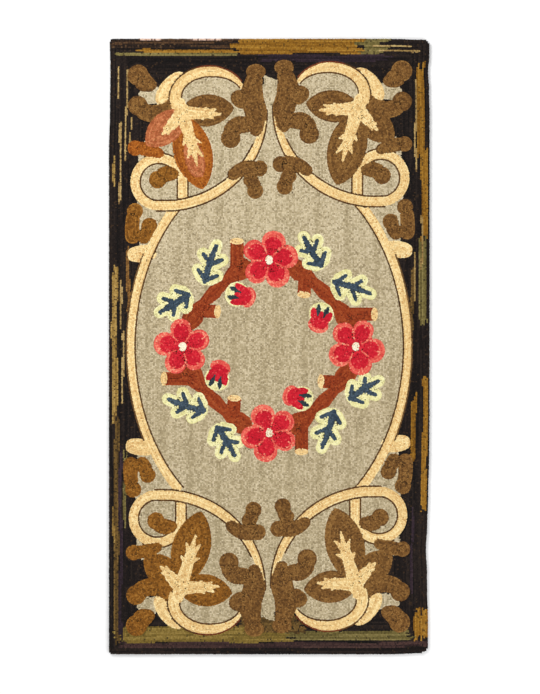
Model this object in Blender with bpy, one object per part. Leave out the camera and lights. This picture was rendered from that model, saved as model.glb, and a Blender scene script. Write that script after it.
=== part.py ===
"""Hooked rug, laid flat on a floor.

The real rug is one burlap sheet with its raw edge turned under, and rows of wool loops
pulled up through it so closely that they stand as one even pile. So it is one solid: a flat
underside, a side as high as the turned hem and the loops, and an upper rim that the last row
of loops rounds off. The outline follows the worn rug: a nearly straight left side, a right
side that pulls in below the middle, and four corners worn to different radii.

Metres, +Z up, +Y along the rug, origin under its centre at the floor.
"""
import math

import bmesh
import bpy

# Driving sizes
WIDTH = 0.914
LENGTH = 1.755
THICKNESS = 0.009

# Rims: the last loops lean outward over the hem, and the fold of the burlap is tighter
UPPER_RIM_RADIUS = 0.0040
UPPER_RIM_STEPS = 3
LOWER_RIM_RADIUS = 0.0012
LOWER_RIM_STEPS = 1

# Outline: spacing of its points, and how finely a worn corner is rounded
OUTLINE_STEP = 0.027
CORNER_STEPS = 5
CORNER_RADII = {
    "lower_left": 0.006,
    "lower_right": 0.024,
    "upper_right": 0.017,
    "upper_left": 0.007,
}

# Each side's wear. Rows: place along the side from the rug's centre, how far it is drawn in
LOWER_SIDE_WEAR = ((-0.457, 0.0), (0.350, 0.0), (0.433, 0.003))
RIGHT_SIDE_WEAR = (
    (-0.854, 0.005),
    (-0.786, 0.0045),
    (-0.700, 0.0070),
    (-0.645, 0.0075),
    (-0.580, 0.0105),
    (-0.512, 0.0068),
    (-0.420, 0.0040),
    (-0.307, 0.0010),
    (-0.180, 0.0),
    (0.660, 0.0),
    (0.735, 0.0015),
    (0.787, 0.0045),
    (0.830, 0.0005),
)
UPPER_SIDE_WEAR = ((-0.440, 0.0), (0.330, 0.0), (0.440, 0.0025))
LEFT_SIDE_WEAR = ((-0.870, 0.0), (0.560, 0.0), (0.660, 0.0028), (0.790, 0.0040), (0.870, 0.0025))

# The hand-hooked edge is never quite straight: two slow ripples, always inward
RIPPLE_HEIGHT = 0.0004
RIPPLE_LENGTHS = (0.131, 0.083)

WOOL_COLOUR = (0.342, 0.296, 0.216, 1.0)
WOOL_ROUGHNESS = 0.95


def clear_scene():
    """Remove every object that the file opened with."""
    for item in list(bpy.data.objects):
        bpy.data.objects.remove(item, do_unlink=True)


def wear_at(rows, place):
    """How far a side is drawn in at a place along it, eased between the rows of its table."""
    if place <= rows[0][0]:
        return rows[0][1]
    for (before, depth_before), (after, depth_after) in zip(rows, rows[1:]):
        if place <= after:
            share = (place - before) / (after - before)
            ease = (1.0 - math.cos(math.pi * share)) / 2.0
            return depth_before + (depth_after - depth_before) * ease
    return rows[-1][1]


def ripple_at(place):
    """Inward ripple of the hooked edge: two cosine waves that touch zero at the centre."""
    waves = [1.0 - math.cos(2.0 * math.pi * place / length) for length in RIPPLE_LENGTHS]
    return RIPPLE_HEIGHT * sum(waves) / (2.0 * len(waves))


def side_points(half_run, start_gap, end_gap, rows):
    """Pairs of place along a side and inward depth, between the corners at its two ends."""
    start = -half_run + start_gap
    end = half_run - end_gap
    count = max(2, round((end - start) / OUTLINE_STEP))
    places = [start + (end - start) * index / count for index in range(count + 1)]
    return [(place, wear_at(rows, place) + ripple_at(place)) for place in places]


def corner_points(first, meeting, last):
    """Inner points of a worn corner: a parabola from one side to the next, pulled to where they meet."""
    points = []
    for index in range(1, CORNER_STEPS):
        t = index / CORNER_STEPS
        weights = ((1.0 - t) ** 2, 2.0 * t * (1.0 - t), t ** 2)
        points.append(tuple(
            weights[0] * first[axis] + weights[1] * meeting[axis] + weights[2] * last[axis]
            for axis in (0, 1)
        ))
    return points


def rug_outline():
    """The rug's outline, counter-clockwise from its lower left corner, as (x, y) points."""
    half_width = WIDTH / 2.0
    half_length = LENGTH / 2.0
    radii = CORNER_RADII
    lower = [
        (place, -half_length + depth)
        for place, depth in side_points(
            half_width, radii["lower_left"], radii["lower_right"], LOWER_SIDE_WEAR)
    ]
    right = [
        (half_width - depth, place)
        for place, depth in side_points(
            half_length, radii["lower_right"], radii["upper_right"], RIGHT_SIDE_WEAR)
    ]
    upper = [
        (place, half_length - depth)
        for place, depth in side_points(
            half_width, radii["upper_left"], radii["upper_right"], UPPER_SIDE_WEAR)
    ][::-1]
    left = [
        (-half_width + depth, place)
        for place, depth in side_points(
            half_length, radii["lower_left"], radii["upper_left"], LEFT_SIDE_WEAR)
    ][::-1]
    outline = []
    for side, following in ((lower, right), (right, upper), (upper, left), (left, lower)):
        outline += side
        end, start = side[-1], following[0]
        upright_side_next = following in (right, left)
        meeting = (start[0], end[1]) if upright_side_next else (end[0], start[1])
        outline += corner_points(end, meeting, start)
    return outline


def outline_slab(name, outline, thickness, collection):
    """A flat slab from a closed outline: a filled 2D curve, made a welded mesh on the floor."""
    curve = bpy.data.curves.new(name + "_outline", "CURVE")
    curve.dimensions = "2D"
    curve.fill_mode = "BOTH"
    curve.extrude = thickness / 2.0
    spline = curve.splines.new("POLY")
    spline.points.add(len(outline) - 1)
    for point, (x, y) in zip(spline.points, outline):
        point.co = (x, y, 0.0, 1.0)
    spline.use_cyclic_u = True
    guide = bpy.data.objects.new(name + "_outline", curve)
    guide.location.z = thickness / 2.0
    collection.objects.link(guide)
    bpy.context.view_layer.update()

    evaluated = guide.evaluated_get(bpy.context.evaluated_depsgraph_get())
    mesh = bpy.data.meshes.new_from_object(evaluated)
    slab = bpy.data.objects.new(name, mesh)
    slab.matrix_world = guide.matrix_world
    collection.objects.link(slab)
    bpy.data.objects.remove(guide, do_unlink=True)
    return slab


def flat_cap_edges(body, faces):
    """The rim edges of a flat cap, after its triangles are joined into one face."""
    cap = bmesh.ops.dissolve_faces(body, faces=faces)["region"][0]
    return list(cap.edges)


def round_rims(slab):
    """Weld the curve's caps, then round the upper rim fully and the lower rim a little."""
    weld_distance = 0.00001
    level = 0.99
    body = bmesh.new()
    body.from_mesh(slab.data)
    bmesh.ops.remove_doubles(body, verts=body.verts, dist=weld_distance)
    bmesh.ops.recalc_face_normals(body, faces=body.faces)
    upward = [face for face in body.faces if face.normal.z > level]
    downward = [face for face in body.faces if face.normal.z < -level]
    upper_rim = flat_cap_edges(body, upward)
    bmesh.ops.bevel(body, geom=upper_rim, offset=UPPER_RIM_RADIUS, offset_type="OFFSET",
                    segments=UPPER_RIM_STEPS, profile=0.5, affect="EDGES")
    lower_rim = flat_cap_edges(body, [face for face in downward if face.is_valid])
    bmesh.ops.bevel(body, geom=lower_rim, offset=LOWER_RIM_RADIUS, offset_type="OFFSET",
                    segments=LOWER_RIM_STEPS, profile=0.5, affect="EDGES")
    bmesh.ops.recalc_face_normals(body, faces=body.faces)
    body.to_mesh(slab.data)
    body.free()
    slab.data.shade_smooth()
    slab.data.set_sharp_from_angle(angle=math.radians(50.0))


def wool_material():
    """Matt wool in the grey-beige of the rug's ground."""
    material = bpy.data.materials.new("wool_pile")
    material.use_nodes = True
    shader = material.node_tree.nodes["Principled BSDF"]
    shader.inputs["Base Color"].default_value = WOOL_COLOUR
    shader.inputs["Roughness"].default_value = WOOL_ROUGHNESS
    shader.inputs["Metallic"].default_value = 0.0
    return material


def build_rug():
    """The whole rug as one named object in its own collection."""
    clear_scene()
    collection = bpy.data.collections.new("hooked_rug")
    bpy.context.scene.collection.children.link(collection)
    rug = outline_slab("rug", rug_outline(), THICKNESS, collection)
    round_rims(rug)
    rug.data.materials.clear()
    rug.data.materials.append(wool_material())


build_rug()
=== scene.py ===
"""Hooked rug, laid flat: a burlap sheet with rows of wool loops that draw a wreath, four scrolled
corners and a streaked dark border."""
import math
from collections import namedtuple

import bpy
import mathutils
import numpy as np
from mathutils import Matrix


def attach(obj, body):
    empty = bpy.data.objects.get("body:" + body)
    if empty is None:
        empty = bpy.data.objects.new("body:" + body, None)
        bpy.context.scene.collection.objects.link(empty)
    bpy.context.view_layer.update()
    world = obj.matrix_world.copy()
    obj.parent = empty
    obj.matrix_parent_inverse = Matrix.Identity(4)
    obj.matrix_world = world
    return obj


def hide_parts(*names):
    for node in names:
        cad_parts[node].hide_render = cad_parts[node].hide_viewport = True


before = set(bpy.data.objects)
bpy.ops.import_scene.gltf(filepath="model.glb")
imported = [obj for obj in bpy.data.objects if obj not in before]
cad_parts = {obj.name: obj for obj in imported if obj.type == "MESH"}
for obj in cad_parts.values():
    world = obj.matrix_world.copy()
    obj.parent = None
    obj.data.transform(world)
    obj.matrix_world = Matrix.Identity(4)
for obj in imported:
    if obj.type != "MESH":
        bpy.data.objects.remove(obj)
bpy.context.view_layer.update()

# Driving sizes, millimetres
RUG_WIDTH = 914.0
RUG_LENGTH = 1755.0
ROW_PITCH = 4.4          # from one row of loops to the next
LOOP_STEP = 4.0          # from one loop to the next along a row
CELL = 0.8               # cell of the chart that says which wool lies where
CHART_MARGIN = 8.0
WINDOW_MARGIN = 6.0      # the part of the chart round a patch is this much wider than the patch
PATH_STEP = 2.0          # from one point of a path to the next
OUTLINE_STEP = 1.5       # the same on an outline before it is moved inward
GROUND_STEP = 6.0        # and on a row of the ground
PATH_THINNING = 8        # a smooth path is carried by every eighth point of an arc
PER_METRE = 1000.0

# Points of a span of a smooth path, of an arc, of the smallest closed form, and of a worn corner,
# and the length of the edge of a circle in its radii and of an almond in its own length
SPAN_POINTS = 16
ARC_POINTS = 181
FEWEST_POINTS = 24
BEND_POINTS = 9
CIRCLE_EDGE = 6.28
ALMOND_EDGE = 3.2

# Worn outline: corner radii, and how far each side is drawn in at places along it
CORNER_RADII = {"lower_left": 6.0, "lower_right": 24.0, "upper_right": 17.0, "upper_left": 7.0}
RIGHT_SIDE_WEAR = (
    (-854, 5.0), (-786, 4.5), (-700, 7.0), (-645, 7.5), (-580, 10.5), (-512, 6.8), (-420, 4.0),
    (-307, 1.0), (-180, 0.0), (660, 0.0), (735, 1.5), (787, 4.5), (830, 0.5),
)
LOWER_SIDE_WEAR = ((-457, 0.0), (350, 0.0), (433, 3.0))
UPPER_SIDE_WEAR = ((-440, 0.0), (330, 0.0), (440, 2.5))
LEFT_SIDE_WEAR = ((-870, 0.0), (560, 0.0), (660, 2.8), (790, 4.0), (870, 2.5))
WEAR_REACH = 80.0        # the rows of the border follow the wear this far in
SIDE_WEAR = {
    "lower": LOWER_SIDE_WEAR, "right": RIGHT_SIDE_WEAR, "upper": UPPER_SIDE_WEAR, "left": LEFT_SIDE_WEAR}

# Loops, millimetres
LOOP_ROOT = 1.2          # foot of a loop, inside the burlap
LOOP_TOPS = (8.3, 9.1)
STRIP_LENGTH = 220.0     # a cut strip of wool lasts about this far along a row
MOST_LOOPS = 18500
GROUND = 0               # number of the ground's patch
BORDER = -1              # number of the border
OUTSIDE = -2
BEAD_SIZES = (1.06, 1.22)    # beads of a row overlap, as packed loops do
BEAD_DROPS = (0.5, 1.2)  # a bead's corners lie this far under its peak
BEAD_FOOT = 0.7          # width of its foot, as a share of its width
PEAK_STRAY = 0.6
BEAD_STRAY = 0.22
BEAD_TURN = 0.16         # radians
BEAD_CORNERS = 7

# Rows of loops, in rows: how far their loops keep from the edge of a patch, how exactly a row
# that echoes an outline keeps its depth, how close loops may lie, and how wide a gap is filled
NEAR_EDGE = 0.3
GROUND_EDGE = 0.95
ECHO_TOLERANCE = 0.28
CLOSEST = 0.66
WIDEST_GAP = 0.68
BORDER_RINGS = 40
SPARE_ROWS = 6           # rows of the ground past the rug's half width
MARGIN_ROWS = 3.0        # how far from an edge its distance is worked out
# Millimetres that the depth of a patch and of a gap is worked out to, how often the gaps are
# filled, and how far a loop put there is turned off upright, radians
DEEPEST_PATCH = 60.0
DEEPEST_GAP = 6.0
FILL_PASSES = 2
FILL_TURN = 0.4
PEAK_CELLS = (-2, -1, 1, 2)  # a gap is deepest where no cell this near to it is deeper
# Slow waves of the ground's rows: height, length, drift from one row to the next
ROW_WAVES = ((2.0, 171.0, 0.05), (1.2, 63.0, 0.11))
# Numbers of the rows, from which their chance tones come
ROWS_IN_PATCH, ROWS_IN_OUTLINE = 400, 20
GROUND_ROWS, BORDER_ROWS, FILL_ROWS = 200000, 300000, 400000
SIDES = ("lower", "right", "upper", "left")

# Burlap, millimetres
SHEET_TOP = 2.2
SHEET_UNDER = 0.8        # underside inside the turned hem
HEM_WIDTH = 28.0
SHEET_STEP = 9.0         # from one corner of its mesh to the next along the edge
INNER_INSET = 60.0       # innermost ring that follows the edge
RING_SHARES = (0.25, 0.5, 0.75, 1.0)     # rings inside it, as shares of it
LEVEL_INSETS = (30.0, 8.0)
FOLD_INSET = 1.0         # the fold of the edge lies this far in from the outline
FOLD_REACH = 1.2
FOLD_EASE = 0.3
HEM_TURN = 1.0
THREAD_PITCH = 0.0022    # metres, two threads of the weave
SHARP_FOLD = 40.0        # degrees

# Finishes: numbers of each shader, scale and detail of the noise, strength and metres of the relief
WOOL_FINISH = {"Specular IOR Level": 0.12, "Sheen Weight": 0.04, "Sheen Roughness": 0.5}
FIBRE_GRAIN = (1400.0, 2.0)
FIBRE_RELIEF = (0.35, 0.0004)
FIBRE_SHADE = 0.35
WOOL_ROUGHNESS = (0.84, 0.12)    # at the least, and how much the fibres add
# Painted shade, with some settled soil: the wool's colour falls to 0.65 at 4.5 mm and below, and is full at
# 7.5 mm and above
SOIL_AND_SHADE = {"From Min": 0.0045, "From Max": 0.0075, "To Min": 0.65, "To Max": 1.0}
BURLAP_FINISH = {"Roughness": 0.95, "Specular IOR Level": 0.1}
BURLAP_COLOURS = ((70, 52, 34), (150, 118, 80))
BURLAP_GRAIN = (160.0, 4.0)
BURLAP_RELIEF = (0.7, 0.0006)
BURLAP_SHARES = (0.6, 0.4)       # of the weave and of the grain in its colour
FLOOR_FINISH = {"Base Color": (0.93, 0.93, 0.93, 1.0), "Roughness": 1.0, "Specular IOR Level": 0.0}

# Stage, metres
FLOOR_Z = 0.0
CAMERA_PLACE = (0.0021, -0.0014, 4.682)
WORLD_STRENGTH = 0.62
KEY_PLACE, KEY_POWER, KEY_SIZE = (-2.2, 2.0, 2.6), 95.0, 1.6
FILL_PLACE, FILL_POWER, FILL_SIZE = (2.4, -1.8, 2.6), 55.0, 2.0
LENS, SENSOR = 85.0, 36.0    # millimetres
CLIP_END = 50.0
FLOOR_HALF = 4.0

noise = np.random.default_rng(41)
CHANCE_FACTORS = (12.9898, 78.233, 37.719)
CHANCE_SCALE = 43758.5453

# Streaks of the border, in whole millimetres: side, from and to how far in from its edge, from and
# to where along it, wool. A later streak lies on the ones before.
STREAKS = (
    ("upper", 0, 25, -455, -90, "brown_black"),
    ("upper", 0, 5, -380, -320, "pale_worn"),
    ("upper", 0, 5, -210, -120, "pale_worn"),
    ("upper", 30, 40, -370, -90, "ochre"),
    ("upper", 40, 48, -440, -90, "olive"),
    ("upper", 0, 42, -100, 260, "ochre"),
    ("upper", 0, 42, 260, 330, "olive"),
    ("upper", 45, 65, -20, 340, "purple"),
    ("upper", 18, 22, 310, 430, "tan"),
    ("upper", 30, 35, 310, 430, "tan"),
    ("right", 12, 36, 540, 800, "ochre"),
    ("right", 36, 41, 480, 745, "tan"),
    ("right", 5, 24, 300, 560, "ochre"),
    ("right", 8, 30, 60, 300, "olive"),
    ("right", 20, 25, 220, 375, "tan"),
    ("right", 40, 45, 130, 270, "tan"),
    ("right", 45, 55, 50, 230, "olive_brown"),
    ("right", 38, 52, -320, -140, "ochre"),
    ("right", 5, 20, -470, -90, "ochre"),
    ("right", 38, 45, -720, -470, "purple"),
    ("right", 0, 40, -840, -760, "ochre"),
    ("lower", 18, 34, -430, 455, "purple_brown"),
    ("lower", 34, 80, -430, 60, "olive_gold"),
    ("lower", 40, 66, 60, 405, "olive"),
    ("lower", 60, 110, -85, 90, "olive_brown"),
    ("left", 28, 34, 420, 650, "tan"),
    ("left", 45, 50, 520, 780, "tan"),
    ("left", 20, 24, 700, 790, "tan"),
    ("left", 58, 62, 560, 650, "tan"),
    ("left", 12, 20, 470, 560, "tan_gold"),
    ("left", 36, 42, -160, 40, "tan"),
    ("left", 12, 20, -640, -420, "tan_gold"),
    ("left", 8, 24, -210, 220, "tan_gold"),
    ("left", 30, 36, 50, 190, "tan"),
    ("left", 50, 60, 5, 275, "brown"),
    ("left", 14, 28, -840, -200, "olive_brown"),
    ("left", 28, 38, -840, -300, "purple"),
    ("left", 40, 50, -500, -300, "olive"),
)

RAGGED_ENDS = 34.0       # the rows of a streak end this far apart
STREAK_WAVE = (1.6, 47.0)    # height and length of its slow wave

# Tone of the ground, as shares of the spread of its strips: how much paler it is past the wreath,
# where that starts and over how many millimetres it grows, and its soft darker streaks along the
# rug: how dark they are, the lengths of their two waves across the rug, and of their drift
GROUND_LIFT = (0.8, 150.0, 170.0)
GROUND_STREAK_DEPTH = 1.3
GROUND_STREAK_LENGTHS = (23.0, 9.0, 260.0)

Wool = namedtuple("Wool", "dark middle light fleck fleck_share strip_spread loop_spread")
WOOLS = {
    "dark": Wool((17, 14, 13), (29, 22, 20), (44, 35, 30), (60, 44, 30), 0.04, 0.9, 0.5),
    "ground": Wool((168, 152, 118), (192, 176, 142), (213, 198, 166), (154, 138, 106), 0.10, 0.25, 1.0),
    "cream": Wool((216, 178, 116), (236, 204, 142), (248, 226, 170), (206, 160, 98), 0.07, 0.6, 0.7),
    "brown": Wool((96, 64, 30), (124, 86, 42), (150, 110, 58), (84, 56, 28), 0.08, 0.5, 0.8),
    "golden_brown": Wool((108, 68, 20), (138, 88, 28), (166, 114, 46), (90, 58, 22), 0.08, 0.5, 0.8),
    "amber": Wool((134, 70, 20), (162, 90, 26), (186, 114, 44), (120, 62, 20), 0.08, 0.6, 0.8),
    "rust_leaf": Wool((158, 84, 48), (186, 108, 66), (206, 134, 88), (150, 88, 46), 0.08, 0.7, 0.8),
    "outline": Wool((62, 38, 18), (88, 58, 28), (110, 76, 40), (60, 40, 20), 0.06, 0.4, 0.5),
    "rust_line": Wool((84, 34, 18), (110, 52, 26), (130, 70, 40), (70, 40, 20), 0.06, 0.4, 0.5),
    "brown_line": Wool((86, 60, 30), (108, 78, 44), (128, 96, 58), (70, 40, 20), 0.06, 0.4, 0.5),
    "coral": Wool((206, 66, 60), (226, 92, 80), (240, 130, 108), (244, 160, 130), 0.10, 0.6, 0.6),
    "crimson": Wool((172, 20, 36), (202, 28, 46), (220, 48, 60), (228, 80, 80), 0.05, 0.5, 0.5),
    "heart": Wool((226, 206, 170), (244, 232, 204), (250, 244, 226), (220, 180, 140), 0.10, 0.4, 0.5),
    "branch": Wool((124, 44, 18), (150, 62, 28), (172, 84, 42), (110, 40, 20), 0.06, 0.5, 0.5),
    "cut_end": Wool((220, 180, 118), (236, 202, 140), (246, 222, 168), (200, 150, 100), 0.10, 0.4, 0.5),
    "halo": Wool((218, 208, 144), (236, 230, 170), (246, 242, 196), (204, 196, 140), 0.10, 0.5, 0.5),
    "slate": Wool((42, 56, 68), (62, 78, 92), (84, 100, 112), (50, 60, 60), 0.08, 0.5, 0.5),
    "sepal": Wool((30, 40, 46), (48, 62, 68), (70, 84, 88), (50, 60, 60), 0.08, 0.5, 0.5),
    "ochre": Wool((112, 74, 18), (146, 102, 30), (172, 128, 50), (90, 64, 24), 0.05, 0.7, 0.5),
    "olive": Wool((84, 74, 38), (112, 100, 54), (140, 126, 76), (60, 50, 30), 0.04, 0.7, 0.5),
    "olive_gold": Wool((96, 80, 34), (126, 104, 46), (152, 128, 66), (60, 50, 30), 0.04, 0.7, 0.5),
    "olive_brown": Wool((72, 54, 26), (98, 74, 36), (124, 96, 50), (50, 40, 24), 0.10, 0.7, 0.5),
    "tan": Wool((140, 112, 62), (170, 140, 86), (192, 166, 110), (110, 84, 50), 0.10, 0.6, 0.5),
    "tan_gold": Wool((118, 90, 40), (152, 120, 60), (184, 152, 86), (80, 60, 34), 0.12, 0.8, 0.5),
    "purple": Wool((32, 24, 30), (46, 34, 42), (62, 47, 54), (40, 30, 30), 0.08, 0.8, 0.5),
    "purple_brown": Wool((43, 29, 30), (62, 43, 41), (84, 60, 54), (40, 30, 30), 0.08, 0.8, 0.5),
    "brown_black": Wool((30, 22, 18), (52, 38, 28), (88, 62, 40), (96, 72, 48), 0.06, 1.0, 0.6),
    "pale_worn": Wool((150, 110, 90), (190, 150, 130), (220, 190, 170), (90, 60, 50), 0.20, 0.6, 0.6),
}

Patch = namedtuple("Patch", "wool outlines paths", defaults=((),))


def travelled_along(path):
    """Length of a polyline up to each of its points."""
    return np.concatenate([[0.0], np.cumsum(np.hypot(*np.diff(path, axis=0).T))])


def evenly(curve, step):
    """Points at equal steps of length along a polyline, at least four."""
    travelled = travelled_along(curve)
    count = max(4, int(round(travelled[-1] / step)) + 1)
    marks = np.linspace(0.0, travelled[-1], count)
    return np.stack([np.interp(marks, travelled, curve[:, axis]) for axis in (0, 1)], axis=1)


def smooth_path(points):
    """Catmull-Rom curve through the points: each span is a cubic whose end slopes are half the
    chord between the neighbours on either side."""
    points = np.asarray(points, float)
    framed = np.vstack([2 * points[:1] - points[1:2], points, 2 * points[-1:] - points[-2:-1]])
    t = np.linspace(0.0, 1.0, SPAN_POINTS, endpoint=False)[None, :, None]
    before, start, end, after = framed[:-3, None], framed[1:-2, None], framed[2:-1, None], framed[3:, None]
    spans = 0.5 * (2 * start + (end - before) * t + (2 * before - 5 * start + 4 * end - after) * t ** 2
                   + (3 * start - before - 3 * end + after) * t ** 3)
    return evenly(np.vstack([spans.reshape(-1, 2), points[-1:]]), PATH_STEP)


def across(path):
    """Unit normals of a path, to its left, from the slope between neighbouring points."""
    slope = np.gradient(path, axis=0)
    slope /= np.maximum(np.hypot(slope[:, 0], slope[:, 1]), 1e-9)[:, None]
    return np.stack([-slope[:, 1], slope[:, 0]], axis=1)


def beside(path, distance):
    """The path moved sideways, to its left where distance is positive."""
    return path + across(path) * np.reshape(distance, (-1, 1))


def spread_of(path, widths):
    """Half of a ribbon's width at each point of its path."""
    return np.interp(np.linspace(0.0, 1.0, len(path)), np.linspace(0.0, 1.0, len(widths)), widths) / 2.0


def ribbon(path, widths, ends="round"):
    """Closed outline round a path: its width runs evenly through the given widths, and a round
    end follows a half circle."""
    half = spread_of(path, widths)
    if ends == "round":
        travelled = travelled_along(path)
        reach = np.minimum(travelled / max(half[0], 0.5), (travelled[-1] - travelled) / max(half[-1], 0.5))
        half = half * np.sqrt(np.clip(1.0 - (1.0 - np.clip(reach, 0.0, 1.0)) ** 2, 0.02, 1.0))
    return np.vstack([beside(path, half), beside(path, -half)[::-1]])


def ellipse_path(centre, radii, start=0.0, end=360.0):
    """Arc of an ellipse: centre plus the radii times cosine and sine of an angle."""
    angles = np.radians(np.linspace(start, end, ARC_POINTS))
    arc = np.stack([centre[0] + radii[0] * np.cos(angles), centre[1] + radii[1] * np.sin(angles)], axis=1)
    return evenly(arc, PATH_STEP)


def blob(centre, radii, turn=0.0):
    """Closed ellipse, turned about its centre."""
    count = max(FEWEST_POINTS, int(CIRCLE_EDGE * max(radii) / PATH_STEP))
    angles = np.linspace(0.0, 2.0 * np.pi, count, endpoint=False)
    turn = math.radians(turn)
    along = radii[0] * np.cos(angles)
    sideways = radii[1] * np.sin(angles)
    return np.stack([centre[0] + along * math.cos(turn) - sideways * math.sin(turn),
                     centre[1] + along * math.sin(turn) + sideways * math.cos(turn)], axis=1)


def bearing(vector):
    """Direction of a vector, in degrees."""
    return math.degrees(math.atan2(vector[1], vector[0]))


def leftward(vector):
    """A vector turned a quarter to the left."""
    return np.array([-vector[1], vector[0]])


def pod(base, tip, half_width, blunt=0.8):
    """Closed almond leaf from base to tip: half width times a power of the sine round it."""
    base, tip = np.asarray(base, float), np.asarray(tip, float)
    reach = np.hypot(*(tip - base))
    ahead = (tip - base) / reach
    count = max(FEWEST_POINTS, int(ALMOND_EDGE * reach / PATH_STEP))
    angles = np.linspace(0.0, 2.0 * np.pi, count, endpoint=False)
    along = (1.0 - np.cos(angles)) / 2.0
    sine = np.sin(angles)
    side = half_width * np.sign(sine) * np.abs(sine) ** blunt
    return base + ahead * (along * reach)[:, None] + leftward(ahead) * side[:, None]


def radial(centre, angle, distance):
    """The point at a direction in degrees and a distance from a centre."""
    turn = math.radians(angle)
    return (centre[0] + distance * math.cos(turn), centre[1] + distance * math.sin(turn))


# Scrolled frame, millimetres
# One corner is worked out and mirrored to four. Its places are (out, along) from the rug's long
# and short middle lines.
OVAL_RADII = (395.0, 540.0)
OVAL_REACH = 50.0        # degrees of the oval frame to either side of the short middle line
OVAL_WIDTHS = (25, 20, 25)
CURL_CENTRE = (315, 475)
CURL_RADIUS = 68
CURL_WIDTH = 26
CURL_LEG = (0.9, 0.4)    # points of its straight foot lie this far under its middle, in radii
CURL_ARC = (175.0, -90.0)
CURL_SIDE_ARC = (40.0, -38.0)
SWEEP_RADII = (285, 275)
SWEEP_WIDTHS = (14, 22, 26, 26, 26)
SWEEP_IN = 15            # its lowest point lies this far in from the curl's middle
SWEEP_ARC = (180.0, 268.0)
SWEEP_END_ARC = (-80.0, 20.0)
SCROLL_CENTRE = (168, 715)
SCROLL_RADII = (100, 76)
SCROLL_WIDTHS = (8, 26, 28, 34)
SCROLL_ARC = (163.0, -38.0)
# The rows beside the bands: from and to which share of the band's length each runs
SCROLL_INNER_ROW = (0.03, 0.84)
SCROLL_OUTER_ROW = (0.50, 0.84)
SCROLL_RUST_ROW = (0.08, 0.50)
CURL_OUTER_ROW = (0.0, 0.55)
SWEEP_INNER_ROW = (0.18, 0.97)
SWEEP_OUTER_ROW = (0.0, 0.80)
OVAL_OUTER_ROW = (0.2, 0.8)
# Cream leaves that grow out of the scroll and of the oval: base, tip, half width, and the power
# of the sine that shapes it, slimmer toward its ends as it rises
SPUR = ((244, 786), (318, 696), 30, 1.0)
SIDE_SPUR = ((322, 276), (404, 266), 24, 0.6)

# The column beside the long middle line: a post with a knob on top and a scallop on its side
COLUMN_OUT = 38
COLUMN_TOP = 790
COLUMN_FOOT = 605
COLUMN_WIDTHS = (38, 66, 64, 28)
COLUMN_SWAY = 12
COLUMN_BEND = 25         # it bulges this far over its middle and is straight as far under it
COLUMN_KNOB = (28, 22)
COLUMN_SCALLOP = (34, 27)
COLUMN_SCALLOP_SHIFT = (0.8, 0.5)    # from the bulge, in its own radii
COLUMN_SCALLOP_TURN = 20

# Three leaves spread from the hub: direction in degrees, where each starts and ends, half width,
# and the power of the sine
LEAF_HUB = (248, 672)
HUB_LEAVES = {
    "inner_leaf": (174, -10, 148, 46, 1.5),
    "long_leaf": (-105, 5, 225, 55, 1.5),
    "outer_leaf": (-42, -10, 138, 44, 1.5),
}
# The heart of another wool in a long leaf, given in the same way
LONG_HEART = (-105, 80, 190, 28, 0.8)
# The cream veins on them: direction and length
HUB_VEINS = ((181, 112), (-107, 158), (-48, 86))
VEIN_WIDTHS = (44, 34, 30)
VEIN_BROAD = 0.7         # share of a vein's length that its broad ribbon runs
# Ragged tips of a vein: where along it each starts, degrees off its direction, share of its length
VEIN_TIPS = ((0.48, -52, 0.22), (0.42, 50, 0.22), (0.60, -26, 0.30), (0.62, 3, 0.38), (0.60, 34, 0.26))
TIP_WIDTHS = (24, 5)
HUB_RADII = (24, 28)
HUB_FOOT = (75, 45)      # direction and length of the stroke that joins the hub to the scroll

# Curled leaves, each of one or two commas. A comma is a ball with a tail along an arc of a circle:
# the ball's centre and radius, the circle's centre, the arc's degrees, the width of the tail's end.
Comma = namedtuple("Comma", "ball radius centre sweep tail")
CURLED_LEAVES = {
    "first_leaf": [Comma((374, 780), 30, (335, 797), -85, 30)],
    "second_leaf": [Comma((375, 693), 28, (330, 725), -150, 12)],
    "third_leaf": [Comma((382, 572), 22, (385, 400), 28, 24)],
    "curl_leaf": [Comma((318, 482), 25, (290, 466), 115, 36)],
    "side_leaf": [Comma((383, 392), 23, (250, 346), -38, 50), Comma((342, 350), 23, (400, 362), 52, 54)],
    "twin_leaf": [Comma((28, 514), 23, (50, 440), -72, 30), Comma((40, 450), 23, (110, 440), -45, 56)],
    "column": [Comma((110, 600), 28, (78, 606), 165, 44)],
}
TAIL_WIDTHS = (1.7, 1.8)     # width of a tail at its ball and halfway, in radii of the ball
LEAF_WOOL = "brown"

# Edge of the grey ground where no band covers it: from the scroll's foot to the curl under the
# second, outer and third leaves, and from the curl to the oval under the side leaf
GROUND_REACH = 20        # the ground of one corner runs this far past the long middle line
CORNER_EDGE = ((338, 690), (325, 615), (382, 572))
SIDE_EDGE = ((380, 370), (365, 262), (300, 180))
NOTCH = ((332, 722), (42, 24))

# Each corner: its side of both middle lines, its own small shift, and leaves in another wool
Corner = namedtuple("Corner", "side shift wools")
CORNERS = (
    Corner((-1, 1), (0, -6), {
        "long_leaf": "amber", "long_heart": "rust_leaf", "outer_leaf": "rust_leaf", "third_leaf": "amber",
        "curl_leaf": "golden_brown", "side_leaf": "golden_brown"}),
    Corner((1, 1), (4, 6), {}),
    Corner((-1, -1), (5, 16), {name: "golden_brown" for name in (*HUB_LEAVES, *CURLED_LEAVES)
                               if name not in ("twin_leaf", "column")}),
    Corner((1, -1), (-2, 6), {}),
)


def on_rug(corner, outline):
    """A corner's outline, shifted and mirrored into the rug's own frame."""
    return (np.asarray(outline, float) + corner.shift) * np.array(corner.side, float)


def curl_path():
    """Spine of the curl: up its inner side, over the top and down round its outer side."""
    u, v = CURL_CENTRE
    leg = [(u - CURL_RADIUS, v - share * CURL_RADIUS) for share in CURL_LEG]
    arc = ellipse_path(CURL_CENTRE, (CURL_RADIUS,) * 2, *CURL_ARC)
    return smooth_path(np.vstack([leg, arc[::PATH_THINNING]]))


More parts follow.
